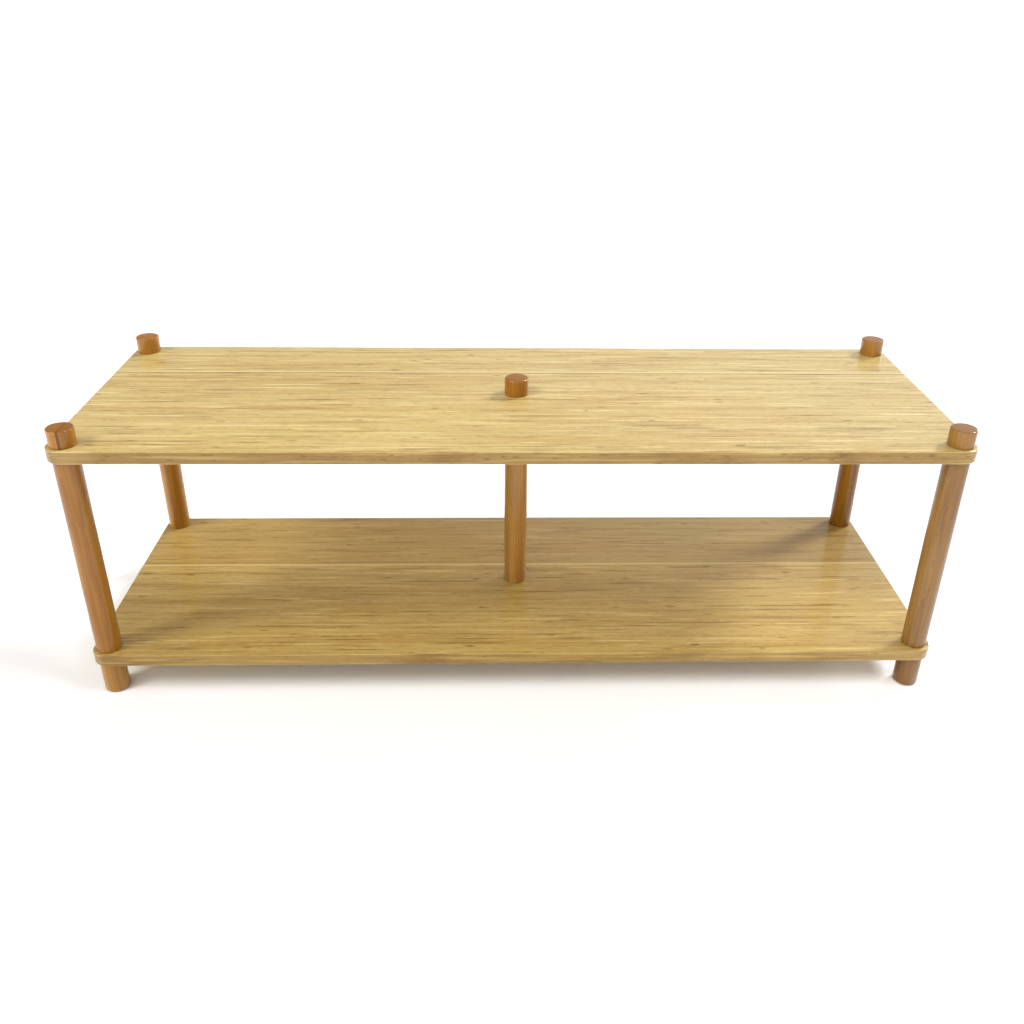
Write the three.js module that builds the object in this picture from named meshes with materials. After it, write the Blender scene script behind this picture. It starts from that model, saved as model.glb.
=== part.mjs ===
// Entryway bench: two bamboo boards clamped between the pieces of five dowel stacks.
// Each stack is a pad, a foot, a post and a cap. Hanger bolts in the foot and the cap pass
// through the boards into threaded inserts in the post, so no fastener shows.
// Millimetres, +Z up. The origin is on the floor under the middle; the front faces -Y.

import * as THREE from 'three';

// ---- driving dimensions ------------------------------------------------------------------

const BENCH_LENGTH = 1220;
const BENCH_DEPTH = 406;

const BOARD_THICKNESS = 18;
const BOARD_EDGE_EASE = 1;

const DOWEL_DIAMETER = 35;
const DOWEL_INSET = 22.5; // from each board edge to the dowel's centre

const PAD_DIAMETER = 26;
const PAD_THICKNESS = 2;
const FOOT_HEIGHT = 50;
const POST_LENGTH = 302;
const CAP_HEIGHT = 25;
const CAP_CHAMFER = 1.6;

const BOLT_LENGTH = 50; // M8 hanger bolt: machine thread at one end, wood thread at the other
const BOLT_WOOD_LENGTH = 16;
const BOLT_MACHINE_DIAMETER = 7.4; // mean diameter of the M8 thread
const BOLT_WOOD_DIAMETER = 6.4;
const BOLT_TIP_CHAMFER = 0.8;

const INSERT_DIAMETER = 12;
const INSERT_LENGTH = 18;
const INSERT_BORE = 8.2;

const BOARD_BORE = 9;
const FIT_GAP = 0.3; // radial room round a piece that sits in a bored pocket

// ---- worked out from them ----------------------------------------------------------------

const DOWEL_RADIUS = DOWEL_DIAMETER / 2;
const POCKET_RADIUS = INSERT_DIAMETER / 2 + FIT_GAP;
const WOOD_HOLE_RADIUS = BOLT_WOOD_DIAMETER / 2 + FIT_GAP;
const BOLT_MACHINE_LENGTH = BOLT_LENGTH - BOLT_WOOD_LENGTH;

const FOOT_BASE = PAD_THICKNESS;
const LOWER_BOARD_BASE = FOOT_BASE + FOOT_HEIGHT;
const POST_BASE = LOWER_BOARD_BASE + BOARD_THICKNESS;
const TOP_BOARD_BASE = POST_BASE + POST_LENGTH;
const CAP_BASE = TOP_BOARD_BASE + BOARD_THICKNESS;

const STACK_X = BENCH_LENGTH / 2 - DOWEL_INSET;
const STACK_Y = BENCH_DEPTH / 2 - DOWEL_INSET;
const STACKS = [
  { place: 'front_left', x: -STACK_X, y: -STACK_Y },
  { place: 'front_right', x: STACK_X, y: -STACK_Y },
  { place: 'back_left', x: -STACK_X, y: STACK_Y },
  { place: 'back_right', x: STACK_X, y: STACK_Y },
  { place: 'center', x: 0, y: 0 },
];

const DOWEL_SIDES = 36;
const HARDWARE_SIDES = 16;
const ARC_STEPS = 6; // three.js doubles this on an arc

// ---- materials ---------------------------------------------------------------------------

const bamboo = new THREE.MeshStandardMaterial({ color: '#e0c48a', roughness: 0.38, metalness: 0 });
const steamedBeech = new THREE.MeshStandardMaterial({ color: '#a8743f', roughness: 0.42, metalness: 0 });
const zincPlatedSteel = new THREE.MeshStandardMaterial({ color: '#b8bcc2', roughness: 0.35, metalness: 1 });
const zincAlloy = new THREE.MeshStandardMaterial({ color: '#a7a9ab', roughness: 0.5, metalness: 1 });
const brownFelt = new THREE.MeshStandardMaterial({ color: '#6a5845', roughness: 0.95, metalness: 0 });

// ---- shape helpers -----------------------------------------------------------------------

// A turned shape about +Z from [radius, height] pairs, listed so that the outside runs upwards.
function turned(pairs, sides) {
  const profile = pairs.map(([radius, height]) => new THREE.Vector2(radius, height));
  return new THREE.LatheGeometry(profile, sides).rotateX(Math.PI / 2);
}

function named(name, geometry, material, z = 0) {
  const mesh = new THREE.Mesh(geometry, material);
  mesh.name = name;
  mesh.position.z = z;
  return mesh;
}

// ---- boards ------------------------------------------------------------------------------

// The plan of a board: its round corners share their centres with the corner dowels.
function boardOutline() {
  const outline = new THREE.Shape();
  outline.absarc(STACK_X, STACK_Y, DOWEL_INSET, 0, Math.PI / 2);
  outline.absarc(-STACK_X, STACK_Y, DOWEL_INSET, Math.PI / 2, Math.PI);
  outline.absarc(-STACK_X, -STACK_Y, DOWEL_INSET, Math.PI, Math.PI * 1.5);
  outline.absarc(STACK_X, -STACK_Y, DOWEL_INSET, Math.PI * 1.5, Math.PI * 2);
  for (const { x, y } of STACKS) {
    const bore = new THREE.Path();
    bore.absarc(x, y, BOARD_BORE / 2, 0, Math.PI * 2, true);
    outline.holes.push(bore);
  }
  return outline;
}

function board(name, base) {
  const geometry = new THREE.ExtrudeGeometry(boardOutline(), {
    depth: BOARD_THICKNESS - 2 * BOARD_EDGE_EASE,
    curveSegments: ARC_STEPS,
    bevelEnabled: true,
    bevelSegments: 1,
    bevelSize: BOARD_EDGE_EASE,
    bevelThickness: BOARD_EDGE_EASE,
    bevelOffset: -BOARD_EDGE_EASE,
  });
  geometry.translate(0, 0, BOARD_EDGE_EASE);
  return named(name, geometry, bamboo, base);
}

// ---- the pieces of a stack ---------------------------------------------------------------

function pad() {
  const radius = PAD_DIAMETER / 2;
  return turned([[0, 0], [radius, 0], [radius, PAD_THICKNESS], [0, PAD_THICKNESS]], DOWEL_SIDES);
}

// A foot has a blind hole in its top for the wood thread of its bolt.
function foot() {
  const holeFloor = FOOT_HEIGHT - BOLT_WOOD_LENGTH;
  return turned([
    [0, 0],
    [DOWEL_RADIUS, 0],
    [DOWEL_RADIUS, FOOT_HEIGHT],
    [WOOD_HOLE_RADIUS, FOOT_HEIGHT],
    [WOOD_HOLE_RADIUS, holeFloor],
    [0, holeFloor],
  ], DOWEL_SIDES);
}

// A post has a pocket in each end for a threaded insert.
function post() {
  const topPocketFloor = POST_LENGTH - INSERT_LENGTH;
  return turned([
    [0, INSERT_LENGTH],
    [POCKET_RADIUS, INSERT_LENGTH],
    [POCKET_RADIUS, 0],
    [DOWEL_RADIUS, 0],
    [DOWEL_RADIUS, POST_LENGTH],
    [POCKET_RADIUS, POST_LENGTH],
    [POCKET_RADIUS, topPocketFloor],
    [0, topPocketFloor],
  ], DOWEL_SIDES);
}

// A cap has a blind hole in its underside for its bolt, and a chamfer round its top.
function cap() {
  return turned([
    [0, BOLT_WOOD_LENGTH],
    [WOOD_HOLE_RADIUS, BOLT_WOOD_LENGTH],
    [WOOD_HOLE_RADIUS, 0],
    [DOWEL_RADIUS, 0],
    [DOWEL_RADIUS, CAP_HEIGHT - CAP_CHAMFER],
    [DOWEL_RADIUS - CAP_CHAMFER, CAP_HEIGHT],
    [0, CAP_HEIGHT],
  ], DOWEL_SIDES);
}

// A hanger bolt standing on the tip of its machine thread, as it hangs from a cap.
function hangerBolt() {
  const machineRadius = BOLT_MACHINE_DIAMETER / 2;
  const woodRadius = BOLT_WOOD_DIAMETER / 2;
  return turned([
    [0, 0],
    [machineRadius - BOLT_TIP_CHAMFER, 0],
    [machineRadius, BOLT_TIP_CHAMFER],
    [machineRadius, BOLT_MACHINE_LENGTH],
    [woodRadius, BOLT_MACHINE_LENGTH],
    [woodRadius, BOLT_LENGTH],
    [0, BOLT_LENGTH],
  ], HARDWARE_SIDES);
}

function threadedInsert() {
  const outer = INSERT_DIAMETER / 2;
  const inner = INSERT_BORE / 2;
  return turned([[inner, 0], [outer, 0], [outer, INSERT_LENGTH], [inner, INSERT_LENGTH], [inner, 0]], HARDWARE_SIDES);
}

// A foot's bolt is a cap's bolt turned over, so that its machine thread points up.
function footBolt(name) {
  const mesh = named(name, hangerBolt(), zincPlatedSteel, LOWER_BOARD_BASE + BOLT_MACHINE_LENGTH);
  mesh.rotation.x = Math.PI;
  return mesh;
}

function stack({ place, x, y }) {
  const group = new THREE.Group();
  group.position.set(x, y, 0);
  group.add(named(`pad_${place}`, pad(), brownFelt));
  group.add(named(`foot_${place}`, foot(), steamedBeech, FOOT_BASE));
  group.add(footBolt(`foot_bolt_${place}`));
  group.add(named(`lower_insert_${place}`, threadedInsert(), zincAlloy, POST_BASE));
  group.add(named(`post_${place}`, post(), steamedBeech, POST_BASE));
  group.add(named(`upper_insert_${place}`, threadedInsert(), zincAlloy, TOP_BOARD_BASE - INSERT_LENGTH));
  group.add(named(`cap_bolt_${place}`, hangerBolt(), zincPlatedSteel, CAP_BASE - BOLT_MACHINE_LENGTH));
  group.add(named(`cap_${place}`, cap(), steamedBeech, CAP_BASE));
  return group;
}

// ---- the bench ---------------------------------------------------------------------------

const bench = new THREE.Group();
bench.add(board('lower_board', LOWER_BOARD_BASE));
bench.add(board('top_board', TOP_BOARD_BASE));
for (const place of STACKS) bench.add(stack(place));

export default bench;
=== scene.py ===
"""Entryway bench: fine meshes, materials and a plain studio around the bench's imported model.

Two laminated bamboo boards are clamped between the pieces of five dowel stacks. Each stack has a
felt pad, a foot, a post and a cap, joined by hanger bolts and threaded inserts. Metres, +Z up; the
front faces -Y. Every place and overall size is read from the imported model.
"""

import math
from contextlib import contextmanager

import bmesh
import bpy
from mathutils import Matrix, Vector


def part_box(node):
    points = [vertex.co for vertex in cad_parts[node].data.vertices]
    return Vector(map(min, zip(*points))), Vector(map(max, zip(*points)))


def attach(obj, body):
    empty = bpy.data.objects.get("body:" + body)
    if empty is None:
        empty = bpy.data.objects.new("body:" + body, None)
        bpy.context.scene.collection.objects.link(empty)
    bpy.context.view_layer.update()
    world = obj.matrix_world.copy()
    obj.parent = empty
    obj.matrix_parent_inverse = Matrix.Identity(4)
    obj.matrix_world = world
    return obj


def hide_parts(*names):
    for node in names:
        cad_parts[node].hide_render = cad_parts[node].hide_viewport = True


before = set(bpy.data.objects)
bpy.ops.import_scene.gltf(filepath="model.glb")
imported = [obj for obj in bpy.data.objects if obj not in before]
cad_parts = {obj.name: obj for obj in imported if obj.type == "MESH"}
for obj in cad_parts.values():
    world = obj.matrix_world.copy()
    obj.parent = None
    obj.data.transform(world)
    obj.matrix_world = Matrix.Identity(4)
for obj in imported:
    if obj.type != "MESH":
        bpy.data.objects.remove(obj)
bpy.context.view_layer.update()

bl_info = {
    "name": "Entryway Bench",
    "version": (1, 0, 0),
    "blender": (4, 5, 0),
    "location": "3D Viewport > Sidebar > Bench",
    "description": "Makes the boards, dowels, fasteners and studio of an entryway bench",
    "category": "Object",
}

PLACES = ("front_left", "front_right", "back_left", "back_right", "center")
MM = 0.001

DOWEL_SIDES = 96
HARDWARE_SIDES = 32
CORNER_SEGMENTS = 24
EDGE_SEGMENTS = 6
CRISP_OVER = math.radians(12)  # an edge that turns more than this is shaded crisp
CLOSE = 1e-5  # places nearer than this are the same place

BOARD_HOLE_RADIUS = 4.5 * MM
FIT_GAP = 0.3 * MM  # room round a piece in its hole
BOLT_TIP = 3 * MM  # length of the point of the wood thread
BOLT_TIP_SHARE = 0.15  # of the rod's width, left at the end of the point
BOLT_CHAMFER = 0.6 * MM
BOLT_WAIST = 1 * MM  # plain length between its two threads
INSERT_PITCH = 3 * MM
INSERT_LEAD = 0.5 * MM  # plain length at its inner end; its mouth has twice that
TRIANGLE_SHARE = 0.92  # of a thread's pitch, so that neighbouring turns stay apart


def linear(srgb):
    """Turns an sRGB hex colour into the linear red, green and blue that shaders take."""
    channels = [int(srgb[start:start + 2], 16) / 255 for start in (1, 3, 5)]
    return tuple(c / 12.92 if c <= 0.04045 else ((c + 0.055) / 1.055) ** 2.4 for c in channels)


# ---- what a user may change ----------------------------------------------------------------


def length(name, description, default):
    """A length property, in metres."""
    return bpy.props.FloatProperty(
        name=name, description=description, default=default, min=0, unit="LENGTH"
    )


def colour(name, description, default):
    """A colour property, from an sRGB hex value."""
    return bpy.props.FloatVectorProperty(
        name=name, description=description, default=linear(default), size=3, min=0, max=1, subtype="COLOR"
    )


class BenchShape(bpy.types.PropertyGroup):
    """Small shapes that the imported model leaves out."""

    board_ease: length("Board edge", "Radius along every edge of a board", 1.2 * MM)
    cap_ease: length("Cap top edge", "Radius round the top of a cap", 2.0 * MM)
    end_ease: length("Dowel end", "Radius round each other end of a dowel piece", 0.8 * MM)
    pad_ease: length("Pad edge", "Radius round a floor pad", 0.5 * MM)
    machine_pitch: length("Machine thread pitch", "Rise of the metal thread in a turn", 1.25 * MM)
    machine_crest: length("Machine thread radius", "Outer radius of the metal thread", 3.95 * MM)
    machine_root: length("Machine thread root", "Radius of the metal rod under the thread", 3.32 * MM)
    wood_pitch: length("Wood thread pitch", "Rise of the wood thread in a turn", 3.0 * MM)
    wood_crest: length("Wood thread radius", "Outer radius of the wood thread", 3.2 * MM)
    wood_root: length("Wood thread root", "Radius of the rod under the wood thread", 2.2 * MM)
    insert_root: length("Insert root", "Radius of an insert under its outer thread", 5.2 * MM)
    insert_bore: length("Insert bore", "Radius of the bore in an insert", 4.1 * MM)


class BenchColours(bpy.types.PropertyGroup):
    """Colours of the woods, metals, felt and floor."""

    bamboo_pale: colour("Bamboo, pale", "Palest strips", "#c2a963")
    bamboo_light: colour("Bamboo, light", "Light streaks", "#d7c07b")
    bamboo_mid: colour("Bamboo, middle", "Most strips", "#b3944d")
    # the dark streak colour also paints shade behind the lower board's joint
    bamboo_dark_and_shade: colour("Bamboo, dark", "Dark streaks", "#8a682a")
    bamboo_seam: colour("Bamboo, seam", "Glue seams between strips", "#725422")
    bamboo_node: colour("Bamboo, node", "Short marks where the cane had a joint", "#644012")
    bamboo_side: colour("Bamboo, side", "Sawn sides of a board", "#72541d")
    beech_pale: colour("Beech, pale", "Early wood of a dowel", "#a3753c")
    beech_dark: colour("Beech, dark", "Late wood of a dowel", "#855622")
    beech_end: colour("Beech, end grain", "Sawn end of a dowel", "#83562d")
    beech_fleck: colour("Beech, fleck", "Fine dark flecks in a dowel", "#5d3617")
    beech_heart: colour("Beech, heart", "Streaks of heartwood in a dowel", "#45240b")
    steel: colour("Bolt", "Zinc-plated steel", "#c3c7cb")
    zinc: colour("Insert", "Cast zinc alloy", "#a5a7a9")
    felt: colour("Felt", "Floor pads", "#6a5845")
    floor: colour("Floor", "Studio floor", "#fcfcfd")


# ---- modelling by hand, in code ------------------------------------------------------------


def only(piece):
    """Selects one object and nothing else."""
    bpy.ops.object.select_all(action="DESELECT")
    piece.select_set(True)
    bpy.context.view_layer.objects.active = piece


@contextmanager
def editing(piece):
    """Holds one object in edit mode."""
    only(piece)
    bpy.ops.object.mode_set(mode="EDIT")
    yield
    bpy.ops.object.mode_set(mode="OBJECT")


def pick(piece, kind, test):
    """In edit mode, selects just the faces, edges or vertices that pass a test."""
    bpy.ops.mesh.select_all(action="DESELECT")
    bpy.ops.mesh.select_mode(type=kind)
    mesh = bmesh.from_edit_mesh(piece.data)
    parts = {"FACE": mesh.faces, "EDGE": mesh.edges, "VERT": mesh.verts}[kind]
    for part in parts:
        if test(part):
            part.select_set(True)
    bmesh.update_edit_mesh(piece.data)


def at_height(part, height):
    """True for a face or edge that lies flat at a height."""
    return all(abs(corner.co.z - height) < CLOSE for corner in part.verts)


def settle(piece, name):
    """Names an object and moves its place into its mesh, so that it sits at the origin."""
    piece.name = name
    piece.data.name = name
    only(piece)
    bpy.ops.object.transform_apply(location=True, rotation=True, scale=True)
    return piece


def round_bar(name, low, high, sides, radius=None):
    """A round bar standing on its end in the middle of a box."""
    middle = (low + high) / 2
    bpy.ops.object.select_all(action="DESELECT")
    bpy.ops.mesh.primitive_cylinder_add(
        vertices=sides, radius=radius or (high.x - low.x) / 2, depth=high.z - low.z, location=middle
    )
    return settle(bpy.context.object, name)


def sink_pocket(bar, height, depth, rim):
    """Sinks a round pocket into the end face at a height.

    Depth is along Z, and rim is the thickness of the wall left round the pocket.
    """
    with editing(bar):
        pick(bar, "FACE", lambda face: at_height(face, height))
        bpy.ops.mesh.inset(thickness=rim)
        bpy.ops.mesh.extrude_region_move(TRANSFORM_OT_translate={"value": (0, 0, depth)})


def ease_rim(bar, height, axis, radius, ease, segments=EDGE_SEGMENTS):
    """Rounds the outer rim of a bar's end."""

    def on_rim(edge):
        return at_height(edge, height) and all((v.co - axis).xy.length > radius - CLOSE for v in edge.verts)

    with editing(bar):
        pick(bar, "EDGE", on_rim)
        bpy.ops.mesh.bevel(offset=ease, segments=segments, affect="EDGES")


def apply_modifier(piece, kind, **settings):
    """Adds a modifier, sets it and applies it."""
    only(piece)
    modifier = piece.modifiers.new(kind.title(), kind)
    for name, value in settings.items():
        setattr(modifier, name, value)
    bpy.ops.object.modifier_apply(modifier=modifier.name)


def combine(piece, tool, how):
    """Joins a tool object to a piece, or cuts it away, and removes the tool."""
    apply_modifier(piece, "BOOLEAN", object=tool, operation=how, solver="EXACT")
    spare = tool.data
    bpy.data.objects.remove(tool)
    bpy.data.meshes.remove(spare)


def smooth(piece):
    """Shades large roundings smooth and leaves edges and small roundings crisp."""
    only(piece)
    bpy.ops.object.shade_smooth_by_angle(angle=CRISP_OVER)


def middle_of(node):
    """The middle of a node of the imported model."""
    low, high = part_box(node)
    return (low + high) / 2


def copy_to(piece, name, start, end, turned_over=False):
    """Copies a finished piece from one node's place to another's, turned over about X if asked."""
    only(piece)
    bpy.ops.object.duplicate(linked=False)
    copy = bpy.context.object
    turn = Matrix.Rotation(math.pi if turned_over else 0, 4, "X")
    copy.matrix_world = Matrix.Translation(middle_of(end)) @ turn @ Matrix.Translation(-middle_of(start))
    return settle(copy, name)


def stand_for(piece, node, body, material):
    """Lets a finished piece stand for a node: gives it its material, hides the node and joins it to its
    body.
    """
    piece.data.materials.clear()
    piece.data.materials.append(material)
    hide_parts(node)
    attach(piece, body)


# ---- materials -----------------------------------------------------------------------------


def new_material(name):
    """An empty node material and its tree."""
    material = bpy.data.materials.new(name)
    material.use_nodes = True
    material.node_tree.nodes.clear()
    return material, material.node_tree


def add(tree, kind, inputs=None, **settings):
    """Adds a node, sets its properties, then sets or links its inputs by name or number."""
    made = tree.nodes.new(kind)
    for name, value in settings.items():
        setattr(made, name, value)
    for key, value in (inputs or {}).items():
        if isinstance(value, bpy.types.NodeSocket):
            tree.links.new(value, made.inputs[key])
        else:
            made.inputs[key].default_value = value
    return made


def blend(tree, factor, first, second):
    """Mixes two colours, given as colours or as links."""
    pair = [c if isinstance(c, bpy.types.NodeSocket) else (*c, 1) for c in (first, second)]
    return add(tree, "ShaderNodeMix", {0: factor, 6: pair[0], 7: pair[1]}, data_type="RGBA").outputs[2]


def tinted(tree, base, tint):
    """A colour link times a plain red, green and blue."""
    return add(tree, "ShaderNodeVectorMath", {0: base, 1: tint}, operation="MULTIPLY").outputs["Vector"]


def sums(tree, how, *values):
    """Arithmetic on links and numbers."""
    return add(tree, "ShaderNodeMath", dict(enumerate(values)), operation=how).outputs[0]


def ramp(tree, value, start, end, low=0.0, high=1.0):
    """Maps a value from one span to another, smoothly, and no further."""
    inputs = {"Value": value, "From Min": start, "From Max": end, "To Min": low, "To Max": high}
    return add(tree, "ShaderNodeMapRange", inputs, interpolation_type="SMOOTHSTEP").outputs[0]


def grain_noise(tree, place, per_metre, detail=2.0, shift=(0, 0, 0)):
    """Noise with so many features to a metre along X, Y and Z, where 1000 is one to a millimetre."""
    stretched = add(tree, "ShaderNodeMapping", {"Vector": place, "Location": shift, "Scale": per_metre})
    inputs = {"Vector": stretched.outputs[0], "Scale": 1.0, "Detail": detail}
    return add(tree, "ShaderNodeTexNoise", inputs).outputs[0]


def lacquered(tree, base, roughness, bump, coat, coat_roughness):
    """Wood under clear lacquer: a soft body, which hardly shines itself, under a thin glossy coat."""
    inputs = {"Base Color": base, "Roughness": roughness, "Normal": bump, "Coat Weight": coat}
    shader = add(tree, "ShaderNodeBsdfPrincipled", inputs)
    shader.inputs["Specular IOR Level"].default_value = 0.2
    shader.inputs["Coat Roughness"].default_value = coat_roughness
    add(tree, "ShaderNodeOutputMaterial", {"Surface": shader.outputs[0]})


# Joints between a board's two blocks: the joint's Y, how far behind it a light strip lies, how strong
# its dark line is, and how much painted shade darkens the board behind the joint.
SHELF_JOINT = (46 * MM, -3 * MM, 0.3, 0.32)
SEAT_JOINT = (84 * MM, 4 * MM, 0.8, 0.0)

# For each board: the shift of its grain pattern (m), its joint, and the tints of its faces and sides.
# Both boards are the same bamboo, so the tints paint light: painted shade darkens the lower board,
# a painted sheen raises the seat's blue, and the side tints carry painted light on the sawn sides.
BOARD_LOOKS_WITH_PAINTED_LIGHT = {
    "lower_board": ((0.37, 0.113, 0), SHELF_JOINT, (0.80, 0.76, 0.73), (1.28, 1.29, 1.17)),
    "top_board": ((1.9, 2.041, 0), SEAT_JOINT, (0.93, 0.95, 1.12), (1.01, 0.93, 0.69)),
}
STRIP_WIDTH = 5.2 * MM
THREAD_WIDTH = 3.4 * MM
NODE_SPACING = 210.0 * MM
NODE_HALF_LENGTH = 11.0 * MM
SEAM_SHARE = 0.2  # of a strip's width


def lacquered_bamboo(name, faces, shift, joint, tint, side_tint):
    """Edge-glued bamboo under clear lacquer.

    Cane is split, planed into strips about 5 mm wide and glued edge up, so the face is fine parallel
    lines, each strip a little paler or darker, with short brown marks at the cane's nodes. Two blocks of
    strips meet at a joint, with a light strip beside it. The sawn sides, between the faces, are browner.
    """
    colours = bpy.context.scene.bench_colours
    material, tree = new_material(name)
    surface = add(tree, "ShaderNodeTexCoord").outputs["Object"]
    plan = add(tree, "ShaderNodeSeparateXYZ", {"Vector": surface})
    place = add(tree, "ShaderNodeMapping", {"Vector": surface, "Location": shift}).outputs[0]
    axes = add(tree, "ShaderNodeSeparateXYZ", {"Vector": place})
    waver = grain_noise(tree, place, (6, 90, 90), 1, (2, 6, 3))
    along = axes.outputs[0]
    across = sums(tree, "MULTIPLY_ADD", waver, 0.6 * MM, axes.outputs[1])

    def strips(width, feature):
        """Cells about as wide as a strip, side by side across the board."""
        inputs = {"W": across, "Scale": 1 / width, "Randomness": 0.8}
        return add(tree, "ShaderNodeTexVoronoi", inputs, voronoi_dimensions="1D", feature=feature)

    def lengths(width, per_metre):
        """A value that differs from strip to strip and drifts along each one."""
        own = add(tree, "ShaderNodeSeparateColor", {"Color": strips(width, "F1").outputs["Color"]})
        run = sums(tree, "MULTIPLY_ADD", own.outputs[0], 61.0, sums(tree, "MULTIPLY", along, per_metre))
        where = add(tree, "ShaderNodeCombineXYZ", {0: run, 1: sums(tree, "MULTIPLY", own.outputs[1], 53.0)})
        noise = add(tree, "ShaderNodeTexNoise", {"Vector": where.outputs[0], "Scale": 1.0, "Detail": 2.0})
        return noise.outputs[0]

    own = add(tree, "ShaderNodeSeparateColor", {"Color": strips(STRIP_WIDTH, "F1").outputs["Color"]})
    phase, strength = own.outputs[1], own.outputs[2]
    edge = strips(STRIP_WIDTH, "DISTANCE_TO_EDGE").outputs["Distance"]

    drift = grain_noise(tree, place, (3, 45, 45), 3)
    threads = lengths(THREAD_WIDTH, 6.0)
    dashes = grain_noise(tree, place, (90, 300, 300), 2, (8, 3, 6))
    side_lines = grain_noise(tree, place, (7, 260, 260), 3, (3, 1, 2))
    side_marks = grain_noise(tree, place, (60, 300, 300), 2, (5, 9, 4))
    fibres = grain_noise(tree, place, (30, 1500, 1500), 3)
    broken = grain_noise(tree, place, (9, 120, 120), 2, (4, 8, 1))
    flecks = grain_noise(tree, place, (40, 90, 300), 2, (7, 2, 5))

    tone = sums(tree, "MULTIPLY_ADD", lengths(STRIP_WIDTH, 3.0), 1.0, sums(tree, "MULTIPLY", drift, 0.6))
    base = blend(tree, ramp(tree, tone, 0.55, 1.0), colours.bamboo_mid, colours.bamboo_pale)
    base = blend(tree, ramp(tree, threads, 0.42, 0.32, 0, 0.75), base, colours.bamboo_light)
    base = blend(tree, ramp(tree, threads, 0.58, 0.7, 0, 0.75), base, colours.bamboo_dark_and_shade)
    base = blend(tree, ramp(tree, dashes, 0.45, 0.32, 0, 0.2), base, colours.bamboo_light)
    base = blend(tree, ramp(tree, dashes, 0.55, 0.68, 0, 0.25), base, colours.bamboo_dark_and_shade)
    base = blend(tree, ramp(tree, fibres, 0.5, 0.72, 0, 0.25), base, colours.bamboo_dark_and_shade)

    seam = ramp(tree, edge, SEAM_SHARE, 0.03)
    seam = sums(tree, "MULTIPLY", seam, ramp(tree, broken, 0.52, 0.6, 0.05, 0.9))
    seam = sums(tree, "MULTIPLY", seam, ramp(tree, strength, 0.3, 0.9))
    base = blend(tree, seam, base, colours.bamboo_seam)

    turns = sums(tree, "MULTIPLY_ADD", phase, 7.0, sums(tree, "DIVIDE", along, NODE_SPACING))
    seed = add(tree, "ShaderNodeCombineXYZ", {0: sums(tree, "FLOOR", turns), 1: strength}).outputs[0]
    scatter = add(tree, "ShaderNodeTexWhiteNoise", {"Vector": seed}, noise_dimensions="2D")
    picks = add(tree, "ShaderNodeSeparateColor", {"Color": scatter.outputs["Color"]})
    node_place = ramp(tree, picks.outputs[0], 0, 1, 0.15, 0.85)
    away = sums(tree, "ABSOLUTE", sums(tree, "SUBTRACT", sums(tree, "FRACT", turns), node_place))
    mark = ramp(tree, away, NODE_HALF_LENGTH / NODE_SPACING, 0.2 * NODE_HALF_LENGTH / NODE_SPACING)
    mark = sums(tree, "MULTIPLY", mark, ramp(tree, picks.outputs[1], 0.1, 0.9, 0.1, 1.0))
    mark = sums(tree, "MULTIPLY", mark, ramp(tree, flecks, 0.4, 0.58, 0, 0.75))
    mark = sums(tree, "MULTIPLY", mark, ramp(tree, edge, 0.2, 0.42))
    base = blend(tree, mark, base, colours.bamboo_node)

    joint_y, to_light_strip, line, painted_back_shade = joint
    behind = sums(tree, "SUBTRACT", plan.outputs[1], joint_y)
    # painted shade: darkens the board behind the joint; on the lower board that part lies deeper under the
    # seat
    base = blend(tree, ramp(tree, behind, 0, 1 * MM, 0, painted_back_shade), base, colours.bamboo_dark_and_shade)
    from_light = sums(tree, "ABSOLUTE", sums(tree, "SUBTRACT", behind, to_light_strip))
    base = blend(tree, ramp(tree, from_light, 3.2 * MM, 2 * MM, 0, 0.75), base, colours.bamboo_light)
    from_joint = sums(tree, "ABSOLUTE", behind)
    base = blend(tree, ramp(tree, from_joint, 1.8 * MM, 0.8 * MM, 0, line), base, colours.bamboo_seam)

    low, high = faces
    up = plan.outputs[2]
    to_face = sums(tree, "MINIMUM", sums(tree, "SUBTRACT", high, up), sums(tree, "SUBTRACT", up, low))
    side = blend(tree, 0.65, base, colours.bamboo_side)
    side = blend(tree, ramp(tree, side_lines, 0.46, 0.34, 0, 0.4), side, colours.bamboo_pale)
    side = blend(tree, ramp(tree, side_lines, 0.52, 0.66, 0, 0.4), side, colours.bamboo_seam)
    side = blend(tree, ramp(tree, side_marks, 0.62, 0.72, 0, 0.6), side, colours.bamboo_node)
    # painted light: brightens the lower board's sawn sides and takes blue off the seat's
    side = tinted(tree, side, side_tint)
    base = blend(tree, ramp(tree, to_face, 0.8 * MM, 1.6 * MM), base, side)

    # painted light: darkens the lower board as shade under the seat and raises the seat's blue as sheen
    base = tinted(tree, base, tint)
    relief = sums(tree, "SUBTRACT", fibres, sums(tree, "MULTIPLY", seam, 0.6))
    inputs = {"Strength": 0.12, "Distance": 0.2 * MM, "Height": relief}
    bump = add(tree, "ShaderNodeBump", inputs).outputs[0]
    lacquered(tree, base, 0.45, bump, coat=0.6, coat_roughness=0.15)
    return material


RING_WIDTH = 2.6 * MM


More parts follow.
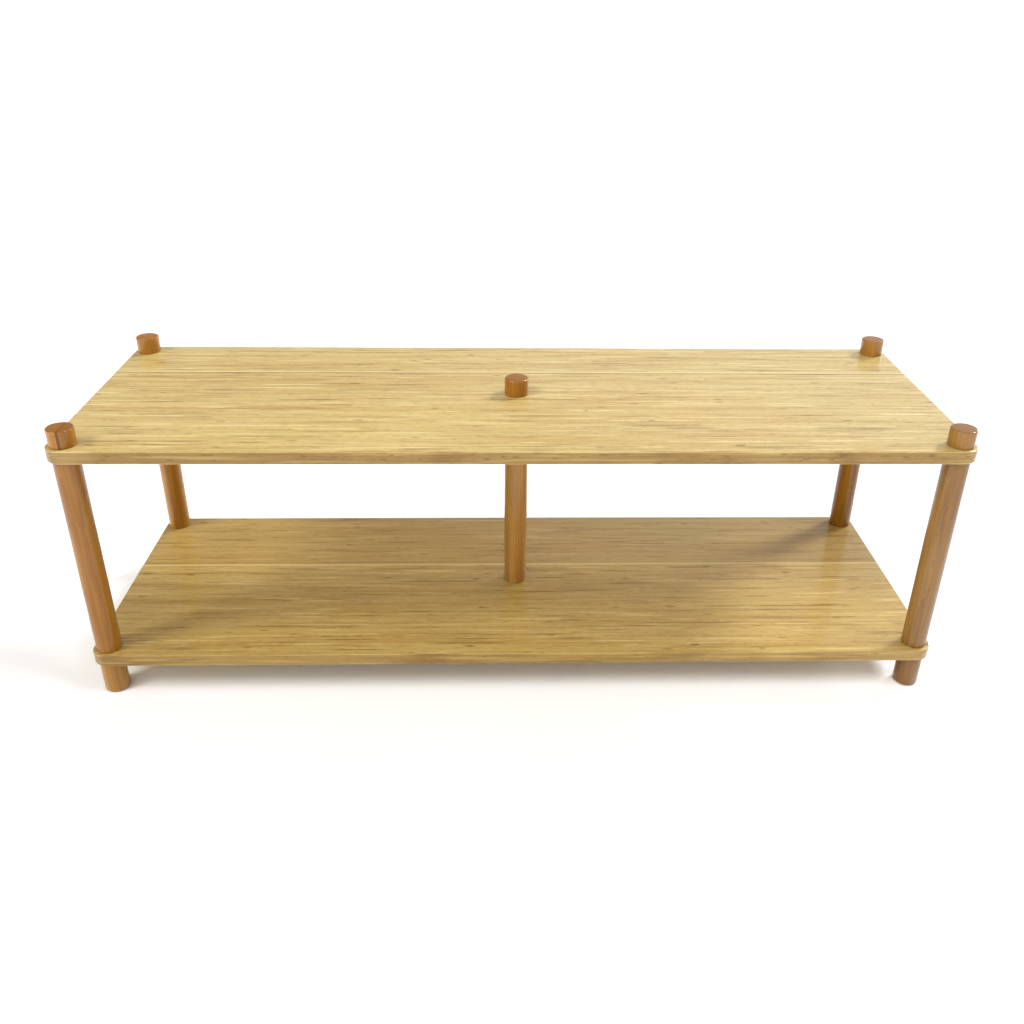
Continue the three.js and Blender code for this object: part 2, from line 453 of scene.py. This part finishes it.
def lacquered_beech(name, ends, shift, tint, streak=None):
    """Steamed beech dowel, turned, sanded and lacquered.

    Steaming turns beech an even pinkish brown. The turned side shows faint growth lines and fine dark
    flecks along its length. A sawn end soaks up more lacquer, so it is darker and duller. A streak is
    a dark flat seam of heartwood: the direction across it, its place that way, half width, strength.
    """
    colours = bpy.context.scene.bench_colours
    material, tree = new_material(name)
    surface = add(tree, "ShaderNodeTexCoord").outputs["Object"]
    height = add(tree, "ShaderNodeSeparateXYZ", {"Vector": surface}).outputs[2]
    place = add(tree, "ShaderNodeMapping", {"Vector": surface, "Location": shift}).outputs[0]

    flat = add(tree, "ShaderNodeMapping", {"Vector": place, "Scale": (1, 1, 0)}).outputs[0]
    reach = add(tree, "ShaderNodeVectorMath", {0: flat}, operation="LENGTH").outputs["Value"]
    sway = grain_noise(tree, place, (45, 45, 5), 2)
    rings = sums(tree, "DIVIDE", reach, RING_WIDTH)
    rings = sums(tree, "FRACT", sums(tree, "MULTIPLY_ADD", sway, 3.0, rings))
    late = ramp(tree, rings, 0.35, 1.0)
    fibres = grain_noise(tree, place, (700, 700, 22), 3)
    patches = grain_noise(tree, place, (70, 70, 8), 3, (5, 2, 8))
    flecks = grain_noise(tree, place, (520, 520, 90), 1, (1, 7, 3))

    mixed = sums(tree, "MULTIPLY_ADD", late, 0.12, sums(tree, "MULTIPLY", patches, 0.8))
    mixed = sums(tree, "MULTIPLY_ADD", fibres, 0.4, mixed)
    base = blend(tree, ramp(tree, mixed, 0.35, 0.95), colours.beech_pale, colours.beech_dark)
    base = blend(tree, ramp(tree, flecks, 0.62, 0.75, 0, 0.35), base, colours.beech_fleck)

    low, high = ends
    below, above = sums(tree, "SUBTRACT", high, height), sums(tree, "SUBTRACT", height, low)
    to_end = sums(tree, "MINIMUM", below, above)
    end_grain = blend(tree, ramp(tree, late, 0, 1, 0, 0.3), colours.beech_end, colours.beech_fleck)
    base = blend(tree, ramp(tree, to_end, 1.2 * MM, 0.1 * MM), base, end_grain)
    if streak:
        direction, middle, half_width, strength = streak
        reached = add(tree, "ShaderNodeVectorMath", {0: surface, 1: direction}, operation="DOT_PRODUCT")
        across = reached.outputs["Value"]
        across = sums(tree, "MULTIPLY_ADD", sway, 1.5 * MM, sums(tree, "SUBTRACT", across, middle))
        beside = sums(tree, "ABSOLUTE", across)
        base = blend(tree, ramp(tree, across, -half_width, half_width, 0, 0.25), base, colours.beech_fleck)
        line = ramp(tree, beside, half_width, 0.1 * half_width, 0, strength)
        line = sums(tree, "MULTIPLY", line, ramp(tree, to_end, 0, 1 * MM, 0.4, 1.0))
        base = blend(tree, line, base, colours.beech_heart)
    # the tint is partly the piece's own tone and partly painted light and shade
    base = tinted(tree, base, tint)

    inputs = {"Strength": 0.1, "Distance": 0.15 * MM, "Height": fibres}
    bump = add(tree, "ShaderNodeBump", inputs).outputs[0]
    coat = ramp(tree, to_end, 0, 0.15 * MM, 0.15, 0.55)
    lacquered(tree, base, 0.4, bump, coat, coat_roughness=0.07)
    return material


def plated_steel(name):
    """Zinc-plated steel, rolled and tumbled: bright and slightly cloudy."""
    colours = bpy.context.scene.bench_colours
    material, tree = new_material(name)
    place = add(tree, "ShaderNodeTexCoord").outputs["Object"]
    cloud = grain_noise(tree, place, (400, 400, 400), 3)
    base = blend(tree, ramp(tree, cloud, 0.3, 0.8, 0, 0.3), colours.steel, colours.zinc)
    rough = ramp(tree, cloud, 0.2, 0.8, 0.25, 0.4)
    inputs = {"Base Color": base, "Metallic": 1.0, "Roughness": rough}
    shader = add(tree, "ShaderNodeBsdfPrincipled", inputs)
    add(tree, "ShaderNodeOutputMaterial", {"Surface": shader.outputs[0]})
    return material


def cast_zinc(name):
    """Die-cast zinc alloy: matt grey with a fine grainy skin."""
    colours = bpy.context.scene.bench_colours
    material, tree = new_material(name)
    place = add(tree, "ShaderNodeTexCoord").outputs["Object"]
    skin = grain_noise(tree, place, (1500, 1500, 1500), 3)
    dull = linear("#7f8183")
    base = blend(tree, ramp(tree, skin, 0.3, 0.8, 0, 0.4), colours.zinc, dull)
    bump = add(tree, "ShaderNodeBump", {"Strength": 0.2, "Distance": 0.05 * MM, "Height": skin}).outputs[0]
    inputs = {"Base Color": base, "Metallic": 1.0, "Roughness": 0.5, "Normal": bump}
    shader = add(tree, "ShaderNodeBsdfPrincipled", inputs)
    add(tree, "ShaderNodeOutputMaterial", {"Surface": shader.outputs[0]})
    return material


def pressed_felt(name):
    """Pressed wool felt: dull, speckled and slightly hairy."""
    colours = bpy.context.scene.bench_colours
    material, tree = new_material(name)
    place = add(tree, "ShaderNodeTexCoord").outputs["Object"]
    hairs = grain_noise(tree, place, (2200, 2200, 2200), 4)
    clumps = grain_noise(tree, place, (500, 500, 500), 2, (2, 3, 4))
    worn = linear("#8b7760")
    deep = linear("#4c3f31")
    base = blend(tree, ramp(tree, hairs, 0.35, 0.7), colours.felt, worn)
    base = blend(tree, ramp(tree, clumps, 0.4, 0.8, 0, 0.4), base, deep)
    bump = add(tree, "ShaderNodeBump", {"Strength": 0.6, "Distance": 0.2 * MM, "Height": hairs}).outputs[0]
    shader = add(tree, "ShaderNodeBsdfPrincipled", {"Base Color": base, "Roughness": 0.95, "Normal": bump})
    shader.inputs["Sheen Weight"].default_value = 0.3
    add(tree, "ShaderNodeOutputMaterial", {"Surface": shader.outputs[0]})
    return material


def painted_floor(name):
    """Matt floor paint, almost white, with the faintest unevenness."""
    colours = bpy.context.scene.bench_colours
    material, tree = new_material(name)
    place = add(tree, "ShaderNodeTexCoord").outputs["Object"]
    roller = grain_noise(tree, place, (3, 3, 3), 2)
    thin = linear("#f4f4f5")
    base = blend(tree, ramp(tree, roller, 0.3, 0.7, 0, 0.3), colours.floor, thin)
    shader = add(tree, "ShaderNodeBsdfPrincipled", {"Base Color": base, "Roughness": 0.9})
    shader.inputs["Specular IOR Level"].default_value = 0.1
    add(tree, "ShaderNodeOutputMaterial", {"Surface": shader.outputs[0]})
    return material


# ---- pieces --------------------------------------------------------------------------------


class BENCH_OT_boards(bpy.types.Operator):
    """Makes the seat board and the shelf board"""

    bl_idname = "bench.boards"
    bl_label = "Boards"

    def execute(self, context):
        ease = context.scene.bench_shape.board_ease
        low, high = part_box("lower_board")
        inset = middle_of("post_front_left").x - low.x
        bpy.ops.object.select_all(action="DESELECT")
        bpy.ops.mesh.primitive_cube_add(size=1, location=(low + high) / 2, scale=high - low)
        board = settle(bpy.context.object, "shelf_board")
        with editing(board):
            pick(board, "EDGE", lambda e: abs(e.verts[0].co.z - e.verts[1].co.z) > CLOSE)
            bpy.ops.mesh.bevel(offset=inset, segments=CORNER_SEGMENTS, affect="EDGES")
            pick(board, "EDGE", lambda e: at_height(e, low.z) or at_height(e, high.z))
            bpy.ops.mesh.bevel(offset=ease, segments=EDGE_SEGMENTS, affect="EDGES")
        for place in PLACES:
            post_low, post_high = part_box(f"post_{place}")
            bottom = Vector((post_low.x, post_low.y, low.z - inset))
            top = Vector((post_high.x, post_high.y, high.z + inset))
            drill = round_bar("drill", bottom, top, HARDWARE_SIDES, BOARD_HOLE_RADIUS)
            combine(board, drill, "DIFFERENCE")
        smooth(board)
        seat = copy_to(board, "seat_board", "lower_board", "top_board")
        for node, piece, name in (("lower_board", board, "shelf"), ("top_board", seat, "seat")):
            low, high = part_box(node)
            wood = lacquered_bamboo(f"lacquered_bamboo_{name}", (low.z, high.z), *BOARD_LOOKS_WITH_PAINTED_LIGHT[node])
            stand_for(piece, node, "bench", wood)
        return {"FINISHED"}


# For each dowel piece: the shift that brings its pith to the middle (m), and its tint. The Z of the
# shift only makes the grain of one piece differ from the next.
# Each tint is partly the piece's own tone and partly painted light and shade, set piece by piece where
# the light on it differs, such as the centre post, brightened for painted light bounced up from the shelf.
DOWEL_TONE_AND_PAINTED_LIGHT = {
    "cap_front_left": ((0.61, 0.21, 0), (1.07, 0.96, 0.14)),
    "cap_front_right": ((-0.55, 0.22, 0), (0.92, 1.01, 0.67)),
    "cap_back_left": ((0.62, -0.14, 0), (1.14, 1.10, 0.30)),
    "cap_back_right": ((-0.56, -0.22, 0), (1.05, 1.05, 0.70)),
    "cap_center": ((0.03, 0.05, 0), (1.04, 0.94, 0.24)),
    "post_front_left": ((0.55, 0.24, 1), (0.88, 0.78, 0.25)),
    "post_front_right": ((-0.62, 0.14, 2), (0.68, 0.73, 0.64)),
    "post_back_left": ((0.63, -0.15, 3), (1.16, 1.10, 0.31)),
    "post_back_right": ((-0.61, -0.13, 4), (0.88, 0.79, 0.11)),
    "post_center": ((0.05, -0.03, 5), (1.21, 1.31, 1.07)),
    "foot_front_left": ((0.63, 0.15, 6), (1.08, 1.10, 0.63)),
    "foot_front_right": ((-0.54, 0.2, 7), (0.53, 0.52, 0.31)),
    "foot_back_left": ((0.55, -0.22, 8), (0.90, 0.88, 0.80)),
    "foot_back_right": ((-0.63, -0.2, 9), (0.90, 0.88, 0.80)),
    "foot_center": ((-0.04, 0.03, 10), (0.90, 0.88, 0.80)),
}

# Heartwood streaks: the direction across, the distance from the dowel's axis, half width, strength.
STREAKS = {
    "cap_front_left": (math.radians(0), 3.2 * MM, 3.0 * MM, 0.85),
    "post_back_left": (math.radians(-20), 6.0 * MM, 6.0 * MM, 0.4),
    "post_back_right": (math.radians(15), 1.0 * MM, 5.5 * MM, 0.45),
}


def dowel_piece(kind, place, pockets, ease_top, ease_bottom):
    """One turned dowel piece with round pockets, each (height, depth along Z, radius)."""
    node = f"{kind}_{place}"
    low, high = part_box(node)
    radius = (high.x - low.x) / 2
    bar = round_bar(f"turned_{node}", low, high, DOWEL_SIDES)
    for height, depth, pocket_radius in pockets:
        sink_pocket(bar, height, depth, radius - pocket_radius)
    axis = (low + high) / 2
    ease_rim(bar, high.z, axis, radius, ease_top)
    ease_rim(bar, low.z, axis, radius, ease_bottom)
    smooth(bar)
    return bar


def dowel_set(kind, model, body):
    """Copies a dowel piece to the other four stacks and finishes all five."""
    first = f"{kind}_{PLACES[0]}"
    made = {PLACES[0]: model}
    for place in PLACES[1:]:
        made[place] = copy_to(model, f"turned_{kind}_{place}", first, f"{kind}_{place}")
    for place, piece in made.items():
        node = f"{kind}_{place}"
        low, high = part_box(node)
        streak = None
        if node in STREAKS:
            angle, offset, half_width, strength = STREAKS[node]
            across = Vector((math.cos(angle), math.sin(angle), 0))
            streak = (across, across.dot((low + high) / 2) + offset, half_width, strength)
        shift, tint = DOWEL_TONE_AND_PAINTED_LIGHT[node]
        wood = lacquered_beech(f"lacquered_beech_{node}", (low.z, high.z), shift, tint, streak)
        stand_for(piece, node, body.format(place), wood)


class BENCH_OT_posts(bpy.types.Operator):
    """Makes the posts between the boards, with a pocket in each end for an insert"""

    bl_idname = "bench.posts"
    bl_label = "Posts"

    def execute(self, context):
        shape = context.scene.bench_shape
        low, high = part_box("post_front_left")
        insert_low, insert_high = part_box("lower_insert_front_left")
        depth = insert_high.z - insert_low.z
        radius = (insert_high.x - insert_low.x) / 2 + FIT_GAP
        pockets = [(low.z, depth, radius), (high.z, -depth, radius)]
        post = dowel_piece("post", PLACES[0], pockets, shape.end_ease, shape.end_ease)
        dowel_set("post", post, "bench")
        return {"FINISHED"}


class BENCH_OT_feet(bpy.types.Operator):
    """Makes the feet under the shelf board, each with a blind hole for its bolt"""

    bl_idname = "bench.feet"
    bl_label = "Feet"

    def execute(self, context):
        shape = context.scene.bench_shape
        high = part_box("foot_front_left")[1].z
        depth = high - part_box("foot_bolt_front_left")[0].z
        pockets = [(high, -depth, shape.wood_crest + FIT_GAP)]
        foot = dowel_piece("foot", PLACES[0], pockets, shape.end_ease, shape.end_ease)
        dowel_set("foot", foot, "bench")
        return {"FINISHED"}


class BENCH_OT_caps(bpy.types.Operator):
    """Makes the caps on the seat board, each with a blind hole for its bolt"""

    bl_idname = "bench.caps"
    bl_label = "Caps"

    def execute(self, context):
        shape = context.scene.bench_shape
        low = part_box("cap_front_left")[0].z
        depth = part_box("cap_bolt_front_left")[1].z - low
        pockets = [(low, depth, shape.wood_crest + FIT_GAP)]
        cap = dowel_piece("cap", PLACES[0], pockets, shape.cap_ease, shape.end_ease)
        dowel_set("cap", cap, "cap_turned_{}")
        return {"FINISHED"}


def thread_ridge(axis, bottom, top, pitch, crest):
    """A helical ridge of triangular section round an axis, as a closed solid."""
    side = TRIANGLE_SHARE * pitch
    out = side / math.sqrt(3)
    bpy.ops.object.select_all(action="DESELECT")
    bpy.ops.mesh.primitive_circle_add(vertices=3, radius=out, location=(axis.x, axis.y, bottom + side / 2))
    ridge = bpy.context.object
    middle = ridge.location
    with editing(ridge):
        bpy.ops.mesh.select_all(action="SELECT")
        bpy.ops.transform.rotate(value=math.pi / 2, orient_axis="X", center_override=middle)
        bpy.ops.transform.rotate(value=math.pi / 2, orient_axis="Y", center_override=middle)
        point = max((v.co for v in bmesh.from_edit_mesh(ridge.data).verts), key=lambda co: abs(co.x))
        if point.x < 0:
            bpy.ops.transform.rotate(value=math.pi, orient_axis="Y", center_override=middle)
        bpy.ops.transform.translate(value=(crest - out, 0, 0))
    turns = int((top - bottom - side) / pitch)
    apply_modifier(
        ridge, "SCREW", axis="Z", screw_offset=pitch, iterations=turns, steps=HARDWARE_SIDES,
        render_steps=HARDWARE_SIDES, use_merge_vertices=False,
    )
    with editing(ridge):
        bpy.ops.mesh.select_all(action="SELECT")
        bpy.ops.mesh.fill_holes(sides=3)
        bpy.ops.mesh.normals_make_consistent(inside=False)
    return settle(ridge, "thread")


class BENCH_OT_bolts(bpy.types.Operator):
    """Makes the hanger bolts in the caps and in the feet"""

    bl_idname = "bench.bolts"
    bl_label = "Hanger bolts"

    def execute(self, context):
        shape = context.scene.bench_shape
        first = "cap_bolt_front_left"
        low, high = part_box(first)
        axis = (low + high) / 2
        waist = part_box("cap_front_left")[0].z
        bolt = round_bar("bolt", low, Vector((high.x, high.y, waist)), HARDWARE_SIDES, shape.machine_root)
        with editing(bolt):
            pick(bolt, "FACE", lambda face: at_height(face, waist))
            bpy.ops.mesh.inset(thickness=shape.machine_root - shape.wood_root)
            for rise in (high.z - waist - BOLT_TIP, BOLT_TIP):
                bpy.ops.mesh.extrude_region_move(TRANSFORM_OT_translate={"value": (0, 0, rise)})
            bpy.ops.transform.resize(value=(BOLT_TIP_SHARE, BOLT_TIP_SHARE, 1), center_override=axis)
        ease_rim(bolt, low.z, axis, shape.machine_root, BOLT_CHAMFER, segments=2)
        threads = (
            (low.z + BOLT_CHAMFER, waist, shape.machine_pitch, shape.machine_crest),
            (waist + BOLT_WAIST, high.z - BOLT_TIP, shape.wood_pitch, shape.wood_crest),
        )
        for bottom, top, pitch, crest in threads:
            combine(bolt, thread_ridge(axis, bottom, top, pitch, crest), "UNION")
        smooth(bolt)
        material = plated_steel("zinc_plated_steel")
        for place in PLACES:
            for end, body in (("cap", f"cap_turned_{place}"), ("foot", "bench")):
                node = f"{end}_bolt_{place}"
                over = end == "foot"
                piece = copy_to(bolt, f"threaded_{node}", first, node, turned_over=over)
                stand_for(piece, node, body, material)
        bpy.data.objects.remove(bolt)
        return {"FINISHED"}


class BENCH_OT_inserts(bpy.types.Operator):
    """Makes the threaded inserts in the ends of the posts"""

    bl_idname = "bench.inserts"
    bl_label = "Threaded inserts"

    def execute(self, context):
        shape = context.scene.bench_shape
        first = "upper_insert_front_left"
        low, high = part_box(first)
        axis = (low + high) / 2
        sleeve = round_bar("insert", low, high, HARDWARE_SIDES, shape.insert_root)
        with editing(sleeve):
            pick(sleeve, "FACE", lambda face: at_height(face, low.z) or at_height(face, high.z))
            bpy.ops.mesh.inset(thickness=shape.insert_root - shape.insert_bore, use_individual=True)
            bpy.ops.mesh.delete(type="ONLY_FACE")
            pick(sleeve, "EDGE", lambda edge: edge.is_boundary)
            bpy.ops.mesh.bridge_edge_loops()
        outer = (high.x - low.x) / 2
        ridge = thread_ridge(axis, low.z + INSERT_LEAD, high.z - 2 * INSERT_LEAD, INSERT_PITCH, outer)
        combine(sleeve, ridge, "UNION")
        smooth(sleeve)
        material = cast_zinc("cast_zinc_alloy")
        for place in PLACES:
            for level in ("upper", "lower"):
                node = f"{level}_insert_{place}"
                over = level == "lower"
                piece = copy_to(sleeve, f"threaded_{node}", first, node, turned_over=over)
                stand_for(piece, node, "bench", material)
        bpy.data.objects.remove(sleeve)
        return {"FINISHED"}


class BENCH_OT_pads(bpy.types.Operator):
    """Makes the felt floor pads"""

    bl_idname = "bench.pads"
    bl_label = "Felt pads"

    def execute(self, context):
        ease = context.scene.bench_shape.pad_ease
        low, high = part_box("pad_front_left")
        axis, radius = (low + high) / 2, (high.x - low.x) / 2
        pad = round_bar("felt_pad_front_left", low, high, DOWEL_SIDES)
        ease_rim(pad, low.z, axis, radius, ease, segments=3)
        ease_rim(pad, high.z, axis, radius, ease, segments=3)
        smooth(pad)
        copies = {"front_left": pad}
        for place in PLACES[1:]:
            copies[place] = copy_to(pad, f"felt_pad_{place}", "pad_front_left", f"pad_{place}")
        material = pressed_felt("pressed_felt")
        for place, piece in copies.items():
            stand_for(piece, f"pad_{place}", "bench", material)
        return {"FINISHED"}


# ---- studio --------------------------------------------------------------------------------

CAMERA_PLACE = Vector((-0.0263, -1.3572, 0.9307))
CAMERA_YAW = math.radians(2.26)
CAMERA_PITCH = math.radians(28.27)
CAMERA_ROLL = math.radians(0.97)
CAMERA_LENS = 34.71
CAMERA_SHIFT = (-0.0206, -0.0048)

FLOOR_WIDTH = 400  # m, so that its edge lies at the horizon
SEES_AS_FAR_AS = 500  # m

GLOW_FROM = (0.40, 0.86, 0.31)  # behind the bench, to the right and low
GLOW_EDGE = 0.84  # cosine of the angle from there at which the glow has faded
DIM = 0.34
BRIGHT = 0.95


def camera_matrix():
    """The camera's place and its right, up and back directions."""
    ahead = Vector((
        math.sin(CAMERA_YAW) * math.cos(CAMERA_PITCH),
        math.cos(CAMERA_YAW) * math.cos(CAMERA_PITCH),
        -math.sin(CAMERA_PITCH),
    ))
    level = Vector((math.cos(CAMERA_YAW), -math.sin(CAMERA_YAW), 0))
    above = level.cross(ahead)
    right = level * math.cos(CAMERA_ROLL) + above * math.sin(CAMERA_ROLL)
    up = above * math.cos(CAMERA_ROLL) - level * math.sin(CAMERA_ROLL)
    turn = Matrix((right, up, -ahead)).transposed().to_4x4()
    return Matrix.Translation(CAMERA_PLACE) @ turn


def sun(name, azimuth, elevation, strength, spread, tint):
    """A soft distant light. Azimuth 0 shines from the front, 90 from the right."""
    lamp = bpy.data.lights.new(name, "SUN")
    lamp.energy = strength
    lamp.angle = math.radians(spread)
    lamp.color = linear(tint)
    holder = bpy.data.objects.new(name, lamp)
    a, e = math.radians(azimuth), math.radians(elevation)
    source = Vector((math.sin(a) * math.cos(e), -math.cos(a) * math.cos(e), math.sin(e)))
    holder.rotation_mode = "QUATERNION"
    holder.rotation_quaternion = source.to_track_quat("Z", "Y")
    bpy.context.scene.collection.objects.link(holder)


def glow_from_behind(scene):
    """A dim world with a glow behind the bench, which the lacquer mirrors.

    It is white up to about 10 degrees above the horizon, where it meets the floor.
    """
    world = bpy.data.worlds.new("studio")
    world.use_nodes = True
    tree = world.node_tree
    tree.nodes.clear()
    facing = add(tree, "ShaderNodeTexCoord").outputs["Generated"]
    towards = add(tree, "ShaderNodeVectorMath", {0: facing, 1: GLOW_FROM}, operation="DOT_PRODUCT")
    glow = ramp(tree, towards.outputs["Value"], GLOW_EDGE, 1.0, DIM, BRIGHT)
    height = add(tree, "ShaderNodeSeparateXYZ", {"Vector": facing}).outputs[2]
    strength = sums(tree, "MAXIMUM", glow, ramp(tree, height, 0.3, 0.16))
    light = add(tree, "ShaderNodeBackground", {"Color": (1, 1, 1, 1), "Strength": strength})
    add(tree, "ShaderNodeOutputWorld", {"Surface": light.outputs[0]})
    scene.world = world


class BENCH_OT_stage(bpy.types.Operator):
    """Makes the floor, the lights and the camera"""

    bl_idname = "bench.stage"
    bl_label = "Studio"

    def execute(self, context):
        scene = context.scene
        bpy.ops.object.select_all(action="DESELECT")
        bpy.ops.mesh.primitive_plane_add(size=FLOOR_WIDTH)
        floor = settle(context.object, "studio_floor")
        floor.data.materials.append(painted_floor("floor_paint"))

        sun("right_light", azimuth=123, elevation=41, strength=2.9, spread=13, tint="#f4f7ff")
        sun("rim_light", azimuth=134, elevation=15, strength=0.5, spread=6, tint="#f7f9ff")
        sun("side_light", azimuth=72, elevation=50, strength=0.7, spread=14, tint="#f7f7ff")
        sun("front_light", azimuth=-10, elevation=35, strength=0.85, spread=50, tint="#fffefc")
        sun("left_light", azimuth=-58, elevation=44, strength=1.95, spread=20, tint="#fffdf8")
        glow_from_behind(scene)
        scene.view_settings.view_transform = "Standard"

        lens = bpy.data.cameras.new("camera")
        lens.lens = CAMERA_LENS
        lens.shift_x, lens.shift_y = CAMERA_SHIFT
        lens.clip_end = SEES_AS_FAR_AS
        camera = bpy.data.objects.new("camera", lens)
        camera.matrix_world = camera_matrix()
        scene.collection.objects.link(camera)
        scene.camera = camera
        return {"FINISHED"}


# ---- the add-on ----------------------------------------------------------------------------

OPERATORS = (
    BENCH_OT_boards,
    BENCH_OT_posts,
    BENCH_OT_feet,
    BENCH_OT_caps,
    BENCH_OT_bolts,
    BENCH_OT_inserts,
    BENCH_OT_pads,
    BENCH_OT_stage,
)


class BENCH_PT_panel(bpy.types.Panel):
    """Lists the bench's sizes, colours and pieces"""

    bl_idname = "BENCH_PT_panel"
    bl_label = "Entryway bench"
    bl_space_type = "VIEW_3D"
    bl_region_type = "UI"
    bl_category = "Bench"

    def draw(self, context):
        for group in (context.scene.bench_shape, context.scene.bench_colours):
            for name in group.__annotations__:
                self.layout.prop(group, name)
        for operator in OPERATORS:
            self.layout.operator(operator.bl_idname)


CLASSES = (BenchShape, BenchColours, *OPERATORS, BENCH_PT_panel)


def register():
    """Adds the classes and the two property groups."""
    for made in CLASSES:
        bpy.utils.register_class(made)
    bpy.types.Scene.bench_shape = bpy.props.PointerProperty(type=BenchShape)
    bpy.types.Scene.bench_colours = bpy.props.PointerProperty(type=BenchColours)


def unregister():
    """Takes them away again."""
    del bpy.types.Scene.bench_colours
    del bpy.types.Scene.bench_shape
    for made in reversed(CLASSES):
        bpy.utils.unregister_class(made)


def main():
    """Makes the whole bench."""
    register()
    bpy.ops.bench.boards()
    bpy.ops.bench.posts()
    bpy.ops.bench.feet()
    bpy.ops.bench.caps()
    bpy.ops.bench.bolts()
    bpy.ops.bench.inserts()
    bpy.ops.bench.pads()
    bpy.ops.bench.stage()


if __name__ == "__main__":
    main()
